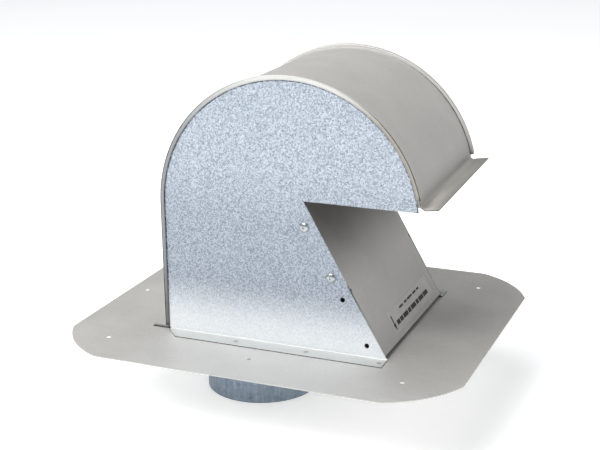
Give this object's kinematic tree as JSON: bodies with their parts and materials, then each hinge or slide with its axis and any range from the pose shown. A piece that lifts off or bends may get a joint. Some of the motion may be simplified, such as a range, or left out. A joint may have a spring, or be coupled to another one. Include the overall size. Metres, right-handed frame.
{
  "type": "dryer roof vent",
  "caption": "Sheet-metal roof vent for a tumble dryer duct: flat flashing, duct collar below, arched hood with a down-facing mouth and a curved gravity backdraft damper inside.",
  "frame": {"origin": "on the duct collar's axis in the roof plane, the underside of the flashing", "axes": "+X towards the hood's mouth, down the roof; +Y across the hood; +Z away from the roof, against the way the collar points"},
  "size_m": [0.354, 0.312, 0.3046],
  "materials": {
    "alzn_sheet": "aluminium-zinc coated steel sheet, satin, as rolled",
    "galvanised_sheet": "hot-dip galvanised steel sheet with a fine spangle",
    "collar_galvanised": "galvanised duct steel, rolled and lock seamed",
    "rivet_aluminium": "cold-formed aluminium, bright",
    "mandrel_steel": "zinc plated steel stem, broken end",
    "label_film": "matt printed film",
    "damper_aluminium": "mill finish aluminium sheet",
    "hinge_steel": "drawn stainless steel wire",
    "bushing_nylon": "moulded nylon, natural",
    "retainer_steel": "stamped spring steel"
  },
  "bodies": {
    "housing": {"base_flashing": "alzn_sheet", "duct_collar": "collar_galvanised", "hood_wrap": "alzn_sheet", "side_panel_left": "galvanised_sheet", "side_panel_right": "galvanised_sheet", "front_panel": "alzn_sheet", "front_label": "label_film", "damper_hanger": "galvanised_sheet", "rivet_left_upper": "rivet_aluminium", "mandrel_left_upper": "mandrel_steel", "rivet_left_lower": "rivet_aluminium", "mandrel_left_lower": "mandrel_steel", "rod_bushing_left": "bushing_nylon", "rivet_right_upper": "rivet_aluminium", "mandrel_right_upper": "mandrel_steel", "rivet_right_lower": "rivet_aluminium", "mandrel_right_lower": "mandrel_steel", "rod_bushing_right": "bushing_nylon"},
    "damper": {"damper_blade": "damper_aluminium", "damper_rod": "hinge_steel", "rod_retainer_left": "retainer_steel", "rod_retainer_right": "retainer_steel"}
  },
  "joints": [
    {"name": "damper_swing", "type": "hinge", "parent": "housing", "child": "damper", "pos_m": [0.0756, 0, 0.21853], "axis": [0, -1, 0], "range_deg": [0, 60]}
  ]
}
